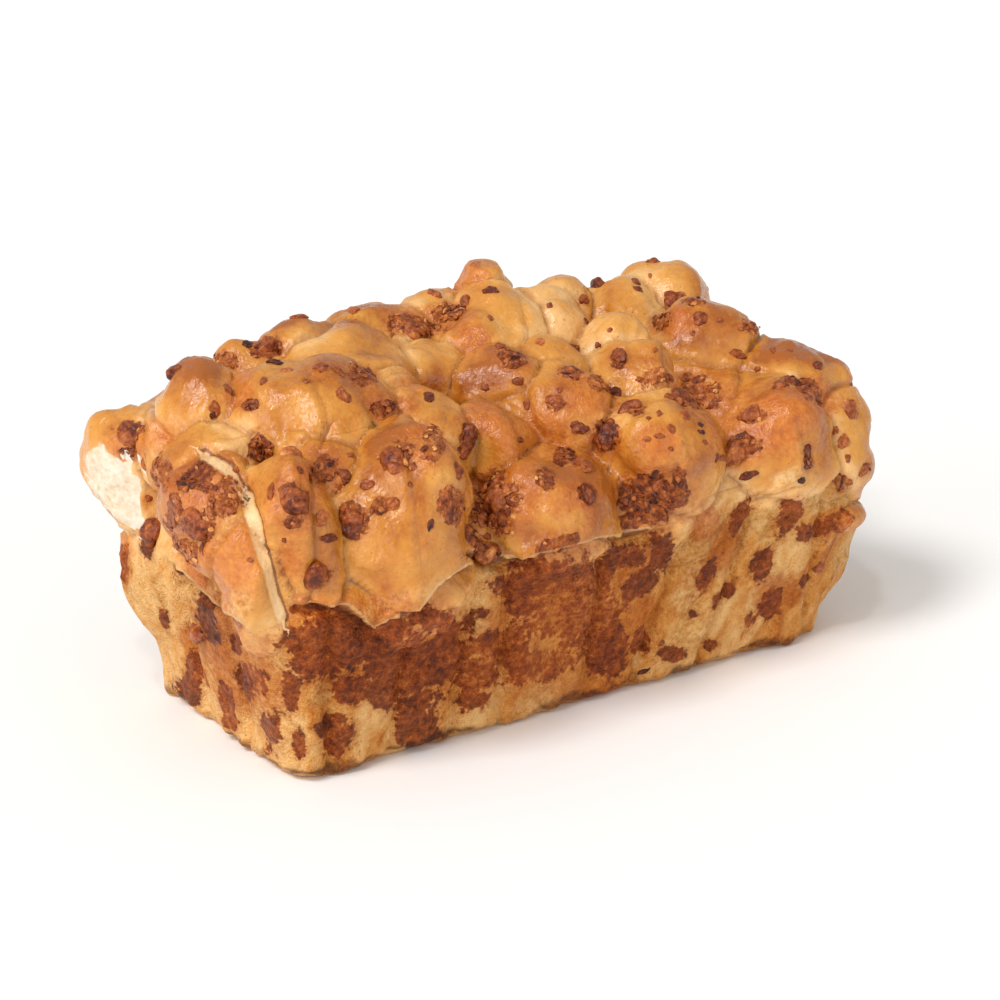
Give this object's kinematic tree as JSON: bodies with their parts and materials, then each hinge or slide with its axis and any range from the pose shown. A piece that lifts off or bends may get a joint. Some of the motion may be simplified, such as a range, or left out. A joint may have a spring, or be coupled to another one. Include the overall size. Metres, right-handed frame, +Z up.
{
  "type": "pepperoni bread",
  "caption": "Pull-apart pepperoni bread baked in a loaf pan, with a bulging crown of dough balls, straight pan-baked walls and browned pepperoni pieces in the crust.",
  "frame": {"origin": "centre of the loaf's footprint box, on the flat base it rests on", "axes": "+X along the loaf's length, +Y across it, +Z up"},
  "size_m": [0.2582, 0.1332, 0.1264],
  "materials": {
    "crust": "baked yeast dough, golden brown and egg-washed on the crown, paler and oil-stained on the pan-baked walls",
    "pepperoni": "browned chopped pepperoni, granular and slightly greasy"
  },
  "bodies": {
    "root": {"loaf": "crust", "pepperoni_chunk_01": "pepperoni", "pepperoni_chunk_02": "pepperoni", "pepperoni_chunk_03": "pepperoni", "pepperoni_chunk_04": "pepperoni", "pepperoni_chunk_05": "pepperoni", "pepperoni_chunk_06": "pepperoni", "pepperoni_chunk_07": "pepperoni", "pepperoni_chunk_08": "pepperoni", "pepperoni_chunk_09": "pepperoni", "pepperoni_chunk_10": "pepperoni", "pepperoni_chunk_11": "pepperoni", "pepperoni_chunk_12": "pepperoni", "pepperoni_chunk_13": "pepperoni", "pepperoni_chunk_14": "pepperoni", "pepperoni_chunk_15": "pepperoni", "pepperoni_chunk_16": "pepperoni", "pepperoni_chunk_17": "pepperoni", "pepperoni_chunk_18": "pepperoni", "pepperoni_chunk_19": "pepperoni", "pepperoni_chunk_20": "pepperoni", "pepperoni_chunk_21": "pepperoni", "pepperoni_chunk_22": "pepperoni", "pepperoni_chunk_23": "pepperoni", "pepperoni_chunk_24": "pepperoni", "pepperoni_chunk_25": "pepperoni", "pepperoni_chunk_26": "pepperoni", "pepperoni_chunk_27": "pepperoni", "pepperoni_chunk_28": "pepperoni", "pepperoni_chunk_29": "pepperoni", "pepperoni_chunk_30": "pepperoni", "pepperoni_chunk_31": "pepperoni", "pepperoni_chunk_32": "pepperoni", "pepperoni_chunk_33": "pepperoni", "pepperoni_chunk_34": "pepperoni", "pepperoni_chunk_35": "pepperoni", "pepperoni_chunk_36": "pepperoni", "pepperoni_chunk_37": "pepperoni"}
  },
  "joints": []
}
